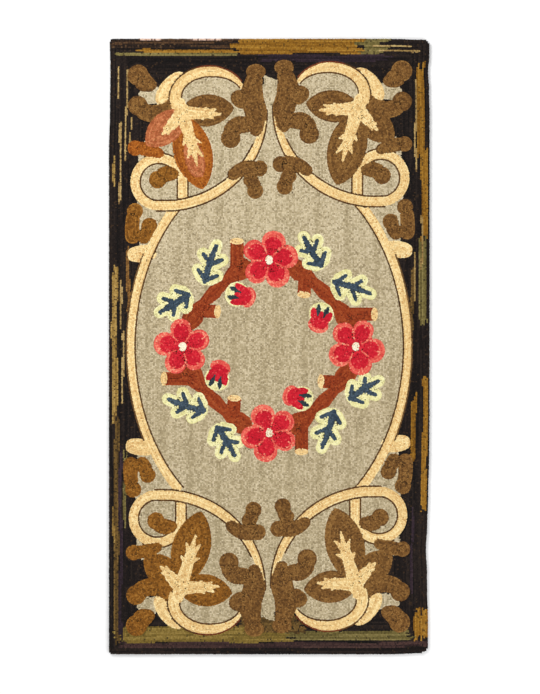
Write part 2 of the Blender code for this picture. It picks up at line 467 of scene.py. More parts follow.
def sweep_path():
    """Spine of the long band: a quarter of an ellipse from the column to the bottom of the curl,
    then round the curl's outer side."""
    centre = (CURL_CENTRE[0] - SWEEP_IN, CURL_CENTRE[1] - CURL_RADIUS + SWEEP_RADII[1])
    quarter = ellipse_path(centre, SWEEP_RADII, *SWEEP_ARC)
    outer = ellipse_path(CURL_CENTRE, (CURL_RADIUS,) * 2, *SWEEP_END_ARC)
    return smooth_path(np.vstack([quarter[::PATH_THINNING], outer[::PATH_THINNING]]))


def scroll_path():
    """Spine of the scroll over the leaves: most of the upper half of an ellipse."""
    return ellipse_path(SCROLL_CENTRE, SCROLL_RADII, *SCROLL_ARC)


def oval_path(side):
    """Spine of one side of the oval frame: an elliptic arc that ends under the two curls."""
    return ellipse_path((0.0, 0.0), OVAL_RADII, -OVAL_REACH, OVAL_REACH) * np.array([side, 1.0])


def edge_line(path, distance, start=0.0, end=1.0):
    """The path of a single row beside another path, over a share of that path's length."""
    first, last = int(start * (len(path) - 1)), int(end * (len(path) - 1)) + 1
    return beside(path, distance)[first:last]


def line_patch(wool, paths):
    """A patch of single rows: each is a ribbon one row wide round its path."""
    return Patch(wool, [ribbon(path, (ROW_PITCH, ROW_PITCH)) for path in paths], tuple(paths))


def band_patches(corner):
    """The cream bands of one corner: scroll, curl and long band, each with its brown outline rows."""
    row = ROW_PITCH / 2.0
    scroll, curl, sweep = scroll_path(), curl_path(), sweep_path()
    scroll_half, sweep_half = spread_of(scroll, SCROLL_WIDTHS), spread_of(sweep, SWEEP_WIDTHS)
    curl_half = CURL_WIDTH / 2.0

    def rows(wool, *lines):
        return line_patch(wool, [on_rug(corner, edge_line(*line)) for line in lines])

    return [
        Patch("cream", [on_rug(corner, ribbon(scroll, SCROLL_WIDTHS))]),
        rows("outline", (scroll, -scroll_half - row, *SCROLL_INNER_ROW),
             (scroll, scroll_half + row, *SCROLL_OUTER_ROW)),
        rows("rust_line", (scroll, scroll_half + row, *SCROLL_RUST_ROW)),
        Patch("cream", [on_rug(corner, ribbon(curl, (CURL_WIDTH, CURL_WIDTH), ends="flat"))]),
        rows("outline", (curl, -curl_half - row), (curl, curl_half + row, *CURL_OUTER_ROW)),
        Patch("cream", [on_rug(corner, ribbon(sweep, SWEEP_WIDTHS))]),
        rows("outline", (sweep, sweep_half + row, *SWEEP_INNER_ROW),
             (sweep, -sweep_half - row, *SWEEP_OUTER_ROW)),
    ]


def curled_outlines(name):
    """A curled leaf: for each comma its ball, and a ribbon that narrows along the tail's arc."""
    outlines = []
    for ball, radius, centre, sweep, tail in CURLED_LEAVES[name]:
        away = np.subtract(ball, centre)
        start = bearing(away)
        spine = ellipse_path(centre, (np.hypot(*away),) * 2, start, start + sweep)
        near, halfway = (factor * radius for factor in TAIL_WIDTHS)
        outlines += [blob(ball, (radius, radius)), ribbon(spine, (near, halfway, tail))]
    return outlines


def column_outlines():
    """The column: its post, knob and scallop, and a curled leaf for its arm."""
    middle = (COLUMN_TOP + COLUMN_FOOT) / 2.0
    bulge = COLUMN_OUT + COLUMN_SWAY
    post = smooth_path([(COLUMN_OUT, COLUMN_TOP), (bulge, middle + COLUMN_BEND),
                        (COLUMN_OUT, middle - COLUMN_BEND), (COLUMN_OUT, COLUMN_FOOT)])
    scallop = np.multiply(COLUMN_SCALLOP, COLUMN_SCALLOP_SHIFT) + (bulge, middle)
    return [ribbon(post, COLUMN_WIDTHS), blob((COLUMN_OUT, COLUMN_TOP), COLUMN_KNOB),
            blob(scallop, COLUMN_SCALLOP, COLUMN_SCALLOP_TURN), *curled_outlines("column")]


def hub_pod(angle, start, end, half_width, blunt):
    """An almond from the hub's middle outward, between two distances along a direction."""
    return pod(radial(LEAF_HUB, angle, start), radial(LEAF_HUB, angle, end), half_width, blunt=blunt)


def stroke(start, angle, length, widths):
    """A straight ribbon from a point, at a direction in degrees."""
    return ribbon(evenly(np.array([start, radial(start, angle, length)]), PATH_STEP), widths)


def vein_outlines():
    """The cream veins: broad ribbons out of a round hub, each torn into pointed tips."""
    outlines = [blob(LEAF_HUB, HUB_RADII), stroke(LEAF_HUB, *HUB_FOOT, VEIN_WIDTHS)]
    for angle, length in HUB_VEINS:
        outlines.append(stroke(LEAF_HUB, angle, VEIN_BROAD * length, VEIN_WIDTHS))
        for share, turn, reach in VEIN_TIPS:
            root = radial(LEAF_HUB, angle, share * length)
            outlines.append(stroke(root, angle + turn, reach * length, TIP_WIDTHS))
    return outlines


def corner_patches(corner):
    """All the patches of one corner, in the order they lie on each other."""
    def leaf(name, outlines):
        return Patch(corner.wools.get(name, LEAF_WOOL), [on_rug(corner, outline) for outline in outlines])

    def curled(name):
        return leaf(name, curled_outlines(name))

    patches = [Patch("cream", [on_rug(corner, pod(*SPUR))])]
    patches += [curled("first_leaf"), curled("second_leaf")]
    patches += band_patches(corner)
    patches += [curled("third_leaf"), curled("curl_leaf")]
    patches += [leaf(name, [hub_pod(*HUB_LEAVES[name])]) for name in HUB_LEAVES]
    if "long_heart" in corner.wools:
        patches.append(leaf("long_heart", [hub_pod(*LONG_HEART)]))
    patches += [Patch("cream", [on_rug(corner, outline) for outline in vein_outlines()])]
    patches += [leaf("column", column_outlines()), curled("twin_leaf")]
    return patches


def side_patches(corner):
    """The cream leaf on the outside of the oval frame, and the curled leaf that stands on it."""
    leaf = [on_rug(corner, outline) for outline in curled_outlines("side_leaf")]
    return [Patch("cream", [on_rug(corner, pod(*SIDE_SPUR))]),
            Patch(corner.wools.get("side_leaf", LEAF_WOOL), leaf)]


def oval_patches():
    """Both sides of the oval frame: a brown row on the middle of the outer side, the cream band and
    a dark brown row on the inner side."""
    patches = []
    for side in (-1.0, 1.0):
        path = oval_path(side)
        outer = spread_of(path, OVAL_WIDTHS) + ROW_PITCH / 2.0
        patches.append(line_patch("brown_line", [edge_line(path, -side * outer, *OVAL_OUTER_ROW)]))
        patches.append(Patch("cream", [ribbon(path, OVAL_WIDTHS)]))
        patches.append(line_patch("outline", [edge_line(path, side * outer)]))
    return patches


# Wreath
# One quarter is worked out and turned four times. Its places are (distance, degrees) from the rug's
# middle, and it starts at the flower on the right.
QUARTERS = (0, 90, 180, 270)
FLOWER_DISTANCE = 247
FLOWER_RADIUS = 82
FLOWER_TURN = -10        # direction of a flower's first petal
PETALS = 5
BRANCH_RADIUS = 232
BRANCH_WAVE = 12
BRANCH_WAVES = 4.0       # waves in a full round
BRANCH_POINTS = 12
BRANCH_ENDS = (12, 78)
BRANCH_WIDTHS = (66, 58, 30, 42, 30, 60, 48)
STUBS = (((246, 22), (314, 17)), ((236, 64), (178, 56)))
STUB_WIDTH = 38
CUT_END = (10, 20)
OAK_LEAVES = (((258, 46), (328, 27)), ((272, 56), (330, 73)))
# Pairs of side veins on an oak leaf: where along the stem each ends, how far out it starts
OAK_VEINS = ((0.08, 32), (0.48, 32))
OAK_STEM_WIDTHS = (16, 18, 12)
OAK_VEIN_WIDTHS = (13, 10)
OAK_HALO_WIDTHS = (46, 32)
OAK_BOW = 3.0            # the stem is bowed by this much
# A side vein's middle and end: ahead and sideways, as shares of how far out it reaches
OAK_VEIN_MIDDLE = (0.5, 0.6)
OAK_VEIN_END = (0.8, 1.0)
OAK_HALO_RUN = (4.0, 14.0)   # the halo runs on past the foot and the tip of each vein

# A flower's parts, as shares of its radius
SCALLOP_DISTANCE = 0.64
SCALLOP_RADII = (0.36, 0.39)
PETAL_REACH = (0.0, 0.5, 0.82)
PETAL_WIDTHS = (0.34, 0.58, 0.56)
CLEFT_REACH = (0.2, 0.6)
NOTCH_REACH = (0.72, 0.92)
CLEFT_WIDTHS = (3.0, 7.0)
HEART_RADII = (11, 13)
PETAL_STRAY = 14.0       # the petals of a flower stray this far in direction, in degrees
PETAL_SPREAD = 0.2       # and in size

# A bud's parts, in shares of its length and of its half width. A cap is an ellipse: its middle
# along the bud, half length, half width. A point is an almond: its two ends, half width.
BUD = ((187, 35), (142, 18))
BUD_HALF_WIDTH = 28
BUD_HALO = (0.22, 0.50, 1.28)
BUD_CORAL = (0.74, 0.33, 1.05)
BUD_CRIMSON = (0.62, 0.26, 0.86)
BUD_POINTS = (
    ((0.70, -0.50), (0.05, -0.95), 0.34),
    ((0.65, 0.0), (0.10, 0.0), 0.24),
    ((0.70, 0.50), (0.05, 0.95), 0.34),
)
BUD_SEPALS = (((0.55, -0.30), (-0.15, -0.50), 0.25), ((0.55, 0.30), (-0.15, 0.50), 0.25))


def turned(place, quarter):
    """A quarter's place as a point on the rug."""
    distance, degrees = place
    return radial((0.0, 0.0), degrees + quarter, distance)


def flower_patches(centre, first):
    """Petals that differ a little: coral scallops outside, crimson inside, coral clefts between the
    petals and a coral notch in each, and a cream heart."""
    def spoke(turn, reach, widths):
        points = [radial(centre, turn, FLOWER_RADIUS * share) for share in reach]
        return ribbon(smooth_path(points), widths)

    half_step = 180.0 / PETALS
    numbers = np.arange(PETALS)
    turns = first + 2.0 * half_step * numbers + PETAL_STRAY * (chance(numbers, first) - 0.5)
    sizes = 1.0 + PETAL_SPREAD * (chance(numbers, first + 1.0) - 0.5)
    scallop = FLOWER_RADIUS * np.array(SCALLOP_RADII)
    out = FLOWER_RADIUS * SCALLOP_DISTANCE
    coral = [blob(centre, (out, out))]
    coral += [blob(radial(centre, turn, out), scallop * size, turn) for turn, size in zip(turns, sizes)]
    crimson = [spoke(turn, PETAL_REACH, FLOWER_RADIUS * size * np.array(PETAL_WIDTHS))
               for turn, size in zip(turns, sizes)]
    clefts = [spoke(turn + half_step, CLEFT_REACH, CLEFT_WIDTHS) for turn in turns]
    notches = [spoke(turn, NOTCH_REACH, CLEFT_WIDTHS) for turn in turns]
    return [Patch("coral", coral), Patch("crimson", crimson), Patch("coral", clefts + notches),
            Patch("heart", [blob(centre, HEART_RADII)])]


def stretched(path, before, after):
    """The path run on straight at both of its ends."""
    first, last = path[0] - path[2], path[-1] - path[-3]
    return evenly(np.vstack([path[0] + first / np.hypot(*first) * before, path,
                             path[-1] + last / np.hypot(*last) * after]), PATH_STEP)


def oak_leaf_patches(foot, tip):
    """A dark stem with pairs of side veins that point to its tip, in a pale halo of the same form."""
    foot, tip = np.array(foot), np.array(tip)
    ahead = (tip - foot) / np.hypot(*(tip - foot))
    left = leftward(ahead)
    strokes = [smooth_path((foot, (foot + tip) / 2.0 + left * OAK_BOW, tip))]
    for share, reach in OAK_VEINS:
        start = foot + (tip - foot) * share
        for side in (-1.0, 1.0):
            middle, end = (start + (ahead * on + left * side * out) * reach
                           for on, out in (OAK_VEIN_MIDDLE, OAK_VEIN_END))
            strokes.append(smooth_path((start, middle, end)))
    halo = [ribbon(stretched(vein, *OAK_HALO_RUN), OAK_HALO_WIDTHS) for vein in strokes]
    dark = [ribbon(strokes[0], OAK_STEM_WIDTHS)] + [ribbon(vein, OAK_VEIN_WIDTHS) for vein in strokes[1:]]
    return [Patch("halo", halo), Patch("slate", dark)]


def bud_patches(base, tip):
    """A bud with a coral cap: crimson points reach to its foot, with dark sepals between them, in a
    pale halo."""
    base, ahead = np.array(base), np.subtract(tip, base)
    length = np.hypot(*ahead)
    left = leftward(ahead) / length * BUD_HALF_WIDTH
    turn = bearing(ahead)

    def cap(along, half_length, half_width):
        return blob(base + along * ahead, (half_length * length, half_width * BUD_HALF_WIDTH), turn)

    def point(start, end, half_width):
        ends = [base + along * ahead + across_it * left for along, across_it in (start, end)]
        return pod(*ends, half_width * BUD_HALF_WIDTH)

    return [
        Patch("halo", [cap(*BUD_HALO)]),
        Patch("coral", [cap(*BUD_CORAL)]),
        Patch("sepal", [point(*row) for row in BUD_SEPALS]),
        Patch("crimson", [cap(*BUD_CRIMSON)] + [point(*row) for row in BUD_POINTS]),
    ]


def branch_outlines(quarter):
    """A branch along a gently waved arc from one flower to the next, and its two sawn stubs."""
    degrees = np.linspace(*BRANCH_ENDS, BRANCH_POINTS)
    radius = BRANCH_RADIUS + BRANCH_WAVE * np.cos(np.radians(BRANCH_WAVES * degrees))
    spine = smooth_path([turned(place, quarter) for place in zip(radius, degrees)])
    outlines = [ribbon(spine, BRANCH_WIDTHS)]
    for foot, cut in STUBS:
        stub = evenly(np.array([turned(foot, quarter), turned(cut, quarter)]), PATH_STEP)
        outlines.append(ribbon(stub, (STUB_WIDTH, STUB_WIDTH), ends="flat"))
    return outlines


def cut_end_outlines(quarter):
    """The pale sawn end of each stub: an ellipse square to it."""
    ends = []
    for foot, cut in STUBS:
        start, end = np.array(turned(foot, quarter)), np.array(turned(cut, quarter))
        ends.append(blob(end, CUT_END, bearing(end - start)))
    return ends


def wreath_patches():
    """Branches, oak leaves, flowers and buds of the middle, quarter by quarter."""
    patches = []
    for quarter in QUARTERS:
        patches.append(Patch("branch", branch_outlines(quarter)))
        patches.append(Patch("cut_end", cut_end_outlines(quarter)))
        for foot, tip in OAK_LEAVES:
            patches += oak_leaf_patches(turned(foot, quarter), turned(tip, quarter))
    for quarter in QUARTERS:
        patches += flower_patches(turned((FLOWER_DISTANCE, 0), quarter), quarter + FLOWER_TURN)
        patches += bud_patches(turned(BUD[0], quarter), turned(BUD[1], quarter))
    return patches


def field_outlines():
    """The grey ground inside the scrolls: the oval, for each corner an outline whose far edge lies
    under the bands and leaves, and the small grey notch between the outer leaves."""
    outlines = [blob((0, 0), OVAL_RADII)]
    for corner in CORNERS:
        points = np.vstack([
            [(-GROUND_REACH, COLUMN_TOP - COLUMN_KNOB[1]), (COLUMN_OUT, COLUMN_TOP - 2 * COLUMN_KNOB[1])],
            scroll_path()[::PATH_THINNING],
            CORNER_EDGE,
            ellipse_path(CURL_CENTRE, (CURL_RADIUS,) * 2, *CURL_SIDE_ARC)[::PATH_THINNING],
            SIDE_EDGE,
            [(-GROUND_REACH, SIDE_EDGE[-1][1])],
        ])
        outlines += [on_rug(corner, points), on_rug(corner, blob(*NOTCH))]
    return outlines


def all_patches():
    """Every patch in the order it lies on the ones before."""
    patches = [Patch("ground", field_outlines())]
    for corner in CORNERS:
        patches += side_patches(corner)
    patches += oval_patches()
    for corner in CORNERS:
        patches += corner_patches(corner)
    patches += wreath_patches()
    return patches


def mask_of(outlines, low, shape):
    """Cells inside any closed outline: each edge marks the cells where it crosses a row of cells,
    and the running sum of the marks along the row is the winding number."""
    rows = low[1] + (np.arange(shape[0]) + 0.5) * CELL
    inside = np.zeros(shape, bool)
    for outline in outlines:
        start = outline
        end = np.roll(outline, -1, axis=0)
        rising = (start[:, 1, None] <= rows) & (end[:, 1, None] > rows)
        falling = (start[:, 1, None] > rows) & (end[:, 1, None] <= rows)
        edge, row = np.nonzero(rising | falling)
        share = (rows[row] - start[edge, 1]) / (end[edge, 1] - start[edge, 1])
        crossing = start[edge, 0] + share * (end[edge, 0] - start[edge, 0])
        column = np.clip(np.ceil((crossing - low[0]) / CELL - 0.5), 0, shape[1]).astype(int)
        marks = np.zeros((shape[0], shape[1] + 1))
        np.add.at(marks, (row, column), np.where(rising[edge, row], 1, -1))
        inside |= np.cumsum(marks, axis=1)[:, :-1] != 0
    return inside


CHART_LOW = np.array([-RUG_WIDTH / 2 - CHART_MARGIN, -RUG_LENGTH / 2 - CHART_MARGIN])
CHART_SHAPE = (int((RUG_LENGTH + 2 * CHART_MARGIN) / CELL), int((RUG_WIDTH + 2 * CHART_MARGIN) / CELL))


def window_of(outlines):
    """The part of the chart that holds the outlines, as slices and its low corner."""
    points = np.vstack(outlines)
    low = np.floor((points.min(axis=0) - WINDOW_MARGIN - CHART_LOW) / CELL).astype(int)
    high = np.ceil((points.max(axis=0) + WINDOW_MARGIN - CHART_LOW) / CELL).astype(int)
    low = np.maximum(low, 0)
    high = np.minimum(high, (CHART_SHAPE[1], CHART_SHAPE[0]))
    window = (slice(low[1], high[1]), slice(low[0], high[0]))
    return window, CHART_LOW + low * CELL, (high[1] - low[1], high[0] - low[0])


def chart_of(patches):
    """Number of the patch that shows in each cell of the rug."""
    chart = np.full(CHART_SHAPE, OUTSIDE)
    inside = mask_of([worn_outline()], CHART_LOW, CHART_SHAPE)
    chart[inside] = BORDER
    for number, patch in enumerate(patches):
        window, low, shape = window_of(patch.outlines)
        part = chart[window]
        part[mask_of(patch.outlines, low, shape) & inside[window]] = number
    return chart


def wear_at(rows, places):
    """How far a side is drawn in at places along it, eased between the rows of its table."""
    marks, depths = np.array(rows, float).T
    before = np.clip(np.searchsorted(marks, places) - 1, 0, len(marks) - 2)
    share = np.clip((places - marks[before]) / (marks[before + 1] - marks[before]), 0.0, 1.0)
    ease = (1.0 - np.cos(np.pi * share)) / 2.0
    return depths[before] + (depths[before + 1] - depths[before]) * ease


def side_path(side, distance):
    """Path along one side, a distance in from its worn edge. The wear fades inward."""
    half_run = RUG_LENGTH / 2.0 if side in ("left", "right") else RUG_WIDTH / 2.0
    half_gap = RUG_WIDTH / 2.0 if side in ("left", "right") else RUG_LENGTH / 2.0
    places = np.arange(-half_run + distance, half_run - distance, PATH_STEP)
    inward = wear_at(SIDE_WEAR[side], places) * max(0.0, 1.0 - distance / WEAR_REACH) + distance
    if side in ("left", "right"):
        sign = 1.0 if side == "right" else -1.0
        return np.stack([sign * (half_gap - inward), places], axis=1)
    sign = 1.0 if side == "upper" else -1.0
    return np.stack([places, sign * (half_gap - inward)], axis=1)


def corner_bend(first, meeting, last):
    """A worn corner: a parabola from one side to the next, pulled to where they meet."""
    t = np.linspace(0.0, 1.0, BEND_POINTS)[1:-1, None]
    return (1.0 - t) ** 2 * first + 2.0 * t * (1.0 - t) * meeting + t ** 2 * last


def worn_outline():
    """Closed outline of the rug, counter-clockwise from its lower left corner."""
    lower, right = side_path("lower", 0.0), side_path("right", 0.0)
    upper, left = side_path("upper", 0.0)[::-1], side_path("left", 0.0)[::-1]
    radii = CORNER_RADII

    def between(side, axis, start, end):
        half = (RUG_WIDTH, RUG_LENGTH)[axis] / 2.0
        return side[(side[:, axis] > radii[start] - half) & (side[:, axis] < half - radii[end])]

    lower = between(lower, 0, "lower_left", "lower_right")
    upper = between(upper, 0, "upper_left", "upper_right")
    right = between(right, 1, "lower_right", "upper_right")
    left = between(left, 1, "lower_left", "upper_left")
    outline = []
    for one, following, upright_next in ((lower, right, True), (right, upper, False),
                                         (upper, left, True), (left, lower, False)):
        end, start = one[-1], following[0]
        meeting = np.array((start[0], end[1]) if upright_next else (end[0], start[1]))
        outline += [one, corner_bend(end, meeting, start)]
    return np.vstack(outline)


# Rows of loops
Rows = namedtuple("Rows", "place angle row along patch")


def depth_of(mask, reach):
    """Millimetres from each cell of a mask to the nearest cell outside it, up to a reach: the
    distance along its own row of cells, then the smallest root of squares over the rows near it."""
    far = int(reach / CELL) + 1
    index = np.arange(mask.shape[1])[None, :]
    left = np.maximum.accumulate(np.where(mask, -far - 1, index), axis=1)
    right = np.minimum.accumulate(np.where(mask, mask.shape[1] + far, index)[:, ::-1], axis=1)[:, ::-1]
    squared = np.where(mask, np.minimum(np.minimum(index - left, right - index), far), 0).astype(float) ** 2
    nearest = squared.copy()
    for shift in range(1, min(far, mask.shape[0])):
        np.minimum(nearest[shift:], squared[:-shift] + shift ** 2, out=nearest[shift:])
        np.minimum(nearest[:-shift], squared[shift:] + shift ** 2, out=nearest[:-shift])
    return np.sqrt(nearest) * CELL


def sample(chart, low, places):
    """Chart value at places, straight between the four cells round each."""
    at = (places - low) / CELL - 0.5
    column = np.clip(at[:, 0], 0, chart.shape[1] - 1.001)
    row = np.clip(at[:, 1], 0, chart.shape[0] - 1.001)
    c, r = column.astype(int), row.astype(int)
    s, t = column - c, row - r
    return ((chart[r, c] * (1 - s) + chart[r, c + 1] * s) * (1 - t)
            + (chart[r + 1, c] * (1 - s) + chart[r + 1, c + 1] * s) * t)


def cell_of(chart, places):
    """Chart value in the cell that holds each place."""
    at = np.floor((places - CHART_LOW) / CELL).astype(int)
    return chart[np.clip(at[:, 1], 0, chart.shape[0] - 1), np.clip(at[:, 0], 0, chart.shape[1] - 1)]


def heading(path):
    """Direction of a path at each of its points, as an angle."""
    slope = np.gradient(path, axis=0)
    return np.arctan2(slope[:, 1], slope[:, 0])


def row_on(path, number, patch):
    """Loops at even steps along a path."""
    places = evenly(path, LOOP_STEP)
    count = len(places)
    return Rows(places, heading(places), np.full(count, number), np.arange(count) * LOOP_STEP,
                np.full(count, patch))


def only(rows, keep):
    """The loops of a row that a test keeps."""
    return Rows(*(part[keep] for part in rows))


def shown_on(path, key, number, chart, margin=None, edge=NEAR_EDGE):
    """The loops along a path that lie where a patch, the ground or the border shows, and no nearer
    to the edge of it than a share of a row."""
    rows = row_on(path, key, number)
    keep = cell_of(chart, rows.place) == number
    if margin is not None:
        keep &= cell_of(margin, rows.place) > edge * ROW_PITCH
    return only(rows, keep)


def joined(found):
    """Many rows as one."""
    return Rows(*(np.concatenate(parts) for parts in zip(*found)))


def inward_offset(outline, offset):
    """The closed outline moved inward along its own normals, outward where the offset is negative."""
    closed = evenly(np.vstack([outline, outline[:1]]), OUTLINE_STEP)
    around = closed[:-1]
    ahead = np.roll(around, -1, axis=0) - np.roll(around, 1, axis=0)
    ahead /= np.maximum(np.hypot(ahead[:, 0], ahead[:, 1]), 1e-9)[:, None]
    x, y = around.T
    turning = np.sign(np.sum(x * np.roll(y, -1) - y * np.roll(x, -1)))
    moved = around + np.stack([-ahead[:, 1], ahead[:, 0]], axis=1) * turning * offset
    return np.vstack([moved, moved[:1]])


def echo_rows(patch, number, chart, margin):
    """Rows that echo a patch's outline: moved inward by half a row, one and a half rows and so on,
    and kept where the whole patch is that deep and shows on the rug."""
    window, low, shape = window_of(patch.outlines)
    depth = depth_of(mask_of(patch.outlines, low, shape), DEEPEST_PATCH)
    pitch = depth.max() / max(1, round(depth.max() / ROW_PITCH))
    found = []
    for outline_number, outline in enumerate(patch.outlines):
        for ring in range(int(round(depth.max() / pitch))):
            offset = (ring + 0.5) * pitch
            key = number * ROWS_IN_PATCH + outline_number * ROWS_IN_OUTLINE + ring
            rows = shown_on(inward_offset(outline, offset), key, number, chart, margin)
            deep = np.abs(sample(depth, low, rows.place) - offset) < ECHO_TOLERANCE * pitch
            found.append(only(rows, deep))
    return found


def line_rows(patch, number, chart):
    """The single rows of a patch."""
    first = number * ROWS_IN_PATCH
    return [shown_on(path, first + path_number * ROWS_IN_OUTLINE, number, chart)
            for path_number, path in enumerate(patch.paths)]


def round_rows(patch, number, chart, margin, ground):
    """The row of ground or border loops that is worked round a patch's outline."""
    found = []
    for outline_number, outline in enumerate(patch.outlines):
        key = number * ROWS_IN_PATCH + (outline_number + 1) * ROWS_IN_OUTLINE - 1
        found.append(shown_on(inward_offset(outline, -ROW_PITCH / 2.0), key, ground, chart, margin))
    return found


def upright_rows(number, chart, margin):
    """Rows of the ground: upright and slightly wavy, from one edge of the ground to the other."""
    found = []
    places_y = np.arange(-RUG_LENGTH / 2.0, RUG_LENGTH / 2.0, GROUND_STEP)
    half_count = int(RUG_WIDTH / 2.0 / ROW_PITCH) + SPARE_ROWS
    for column in range(-half_count, half_count + 1):
        wave = sum(height * np.sin(places_y / length + column * drift)
                   for height, length, drift in ROW_WAVES)
        path = np.stack([column * ROW_PITCH + wave, places_y], axis=1)
        found.append(shown_on(path, GROUND_ROWS + column, number, chart, margin, GROUND_EDGE))
    return found


def border_rows(chart, margin):
    """Rows of the border, along the nearest side of the rug."""
    found = []
    for side_number, side in enumerate(SIDES):
        for ring in range(BORDER_RINGS):
            path = side_path(side, (ring + 0.5) * ROW_PITCH)
            key = BORDER_ROWS + side_number * BORDER_RINGS + ring
            found.append(shown_on(path, key, BORDER, chart, margin))
    return found


def thinned(rows):
    """The loops with none closer than about two thirds of a row: one is kept in each cell of a
    square grid, and then in each cell of the same grid moved by half a cell, both ways and each
    way alone."""
    size = CLOSEST * ROW_PITCH
    for shift in ((0.0, 0.0), (0.5, 0.5), (0.5, 0.0), (0.0, 0.5)):
        cells = np.floor(rows.place / size + shift).astype(int)
        _, first = np.unique(cells, axis=0, return_index=True)
        rows = only(rows, np.sort(first))
    return rows


def filled(rows, chart):
    """The loops with more put where a gap is left: at the deepest cells of the bare parts."""
    for _ in range(FILL_PASSES):
        free = chart > OUTSIDE
        at = np.floor((rows.place - CHART_LOW) / CELL).astype(int)
        free[np.clip(at[:, 1], 0, CHART_SHAPE[0] - 1), np.clip(at[:, 0], 0, CHART_SHAPE[1] - 1)] = False
        gap = depth_of(free, DEEPEST_GAP)
        best = gap.copy()
        for axis in (0, 1):
            for shift in PEAK_CELLS:
                np.maximum(best, np.roll(best, shift, axis=axis), out=best)
        deepest = (gap >= best) & (gap > WIDEST_GAP * ROW_PITCH) & (chart > OUTSIDE)
        row, column = np.nonzero(deepest)
        places = CHART_LOW + (np.stack([column, row], axis=1) + 0.5) * CELL
        angles = noise.uniform(-FILL_TURN, FILL_TURN, len(places)) + np.pi / 2.0
        more = Rows(places, angles, FILL_ROWS + np.arange(len(places)), places[:, 1], chart[row, column])
        rows = thinned(joined([rows, more]))
    return rows


def rug_rows(patches, chart):
    """Every loop of the rug."""
    edges = np.zeros(CHART_SHAPE, bool)
    edges[:, 1:] |= chart[:, 1:] != chart[:, :-1]
    edges[1:] |= chart[1:] != chart[:-1]
    margin = depth_of(~edges, MARGIN_ROWS * ROW_PITCH)
    found = []
    for number, patch in enumerate(patches):
        if patch.paths:
            found += line_rows(patch, number, chart)
    for number, patch in enumerate(patches):
        if not patch.paths and patch.wool != "ground":
            found += echo_rows(patch, number, chart, margin)
    for number, patch in enumerate(patches):
        if patch.wool != "ground":
            found += round_rows(patch, number, chart, margin, GROUND)
            found += round_rows(patch, number, chart, margin, BORDER)
    found += border_rows(chart, margin)
    found += upright_rows(GROUND, chart, margin)
    return filled(thinned(joined(found)), chart)


def chance(*keys):
    """A repeatable number from 0 to 1 for each row of keys: the fraction of a large sine."""
    mixed = sum(np.asarray(key, float) * factor for key, factor in zip(keys, CHANCE_FACTORS))
    return np.modf(np.abs(np.sin(mixed) * CHANCE_SCALE))[0]


def side_distances(places):
    """For each of the four sides, how far in from its worn edge every place lies, and how far
    along that side."""
    x, y = places.T
    distances = np.stack([
        y + RUG_LENGTH / 2.0 - wear_at(SIDE_WEAR["lower"], x),
        RUG_WIDTH / 2.0 - wear_at(SIDE_WEAR["right"], y) - x,
        RUG_LENGTH / 2.0 - wear_at(SIDE_WEAR["upper"], x) - y,
        x + RUG_WIDTH / 2.0 - wear_at(SIDE_WEAR["left"], y)])
    return distances, np.stack([x, y, x, y])


def wools_of(rows, patches):
    """Name of each loop's wool: its patch's, and on the border the last streak that covers it."""
    names = np.array([patch.wool for patch in patches] + ["dark"])
    wools = names[np.where(rows.patch < 0, len(patches), rows.patch)]
    border = rows.patch < 0
    distances, alongs = side_distances(rows.place)
    for number, (side, near, far, start, end, wool) in enumerate(STREAKS):
        index = SIDES.index(side)
        line = np.floor(distances[index] / ROW_PITCH)
        ragged = (chance(line, number) - 0.5) * RAGGED_ENDS
        drift = STREAK_WAVE[0] * np.sin(alongs[index] / STREAK_WAVE[1] + number)
        inside = (distances[index] + drift > near) & (distances[index] + drift < far)
        inside &= (alongs[index] + ragged > start) & (alongs[index] + ragged < end)
        wools[border & inside] = wool
    return wools


# Loops
def pillow_mesh(rows, height_range):
    """Corners and faces of one bead for each loop, in metres. A bead is a pillow: four corners round
    a raised middle, on a wedge that narrows to a line across the row, down in the burlap. The
    lower faces of all the beads come before the upper ones."""
    count = len(rows.place)
    size = noise.uniform(*BEAD_SIZES, (2, count))
    along = LOOP_STEP / 2.0 * size[0]
    across = ROW_PITCH / 2.0 * size[1]
    top = noise.uniform(*height_range, count)
    local = np.zeros((count, BEAD_CORNERS, 3))
    for corner, (u, v) in enumerate(((-1, -1), (-1, 1), (1, 1), (1, -1))):
        local[:, corner, 0] = u * along
        local[:, corner, 1] = v * across
        local[:, corner, 2] = top - noise.uniform(*BEAD_DROPS, count)
    local[:, 4, :2] = noise.uniform(-PEAK_STRAY, PEAK_STRAY, (count, 2))
    local[:, 4, 2] = top
    local[:, 5, 1] = -across * BEAD_FOOT
    local[:, 6, 1] = across * BEAD_FOOT
    local[:, 5:, 2] = LOOP_ROOT
    angle = rows.angle + noise.normal(0.0, BEAD_TURN, count)
    cosine, sine = np.cos(angle)[:, None], np.sin(angle)[:, None]
    shift = noise.normal(0.0, BEAD_STRAY, (count, 2))
    corners = np.empty_like(local)
    corners[:, :, 0] = rows.place[:, :1] + shift[:, :1] + local[:, :, 0] * cosine - local[:, :, 1] * sine
    corners[:, :, 1] = rows.place[:, 1:] + shift[:, 1:] + local[:, :, 0] * sine + local[:, :, 1] * cosine
    corners[:, :, 2] = local[:, :, 2]
    lower = np.array([(0, 5, 3), (1, 2, 6), (0, 1, 6), (0, 6, 5), (2, 3, 5), (2, 5, 6)])
    upper = np.array([(4, 0, 3), (4, 3, 2), (4, 2, 1), (4, 1, 0)])
    first = np.arange(count)[:, None, None] * BEAD_CORNERS
    faces = np.concatenate([(first + lower).reshape(-1, 3), (first + upper).reshape(-1, 3)])
    return corners.reshape(-1, 3) / PER_METRE, faces


def linked(name, data):
    """An object with this data, in the scene."""
    item = bpy.data.objects.new(name, data)
    bpy.context.scene.collection.objects.link(item)
    return item


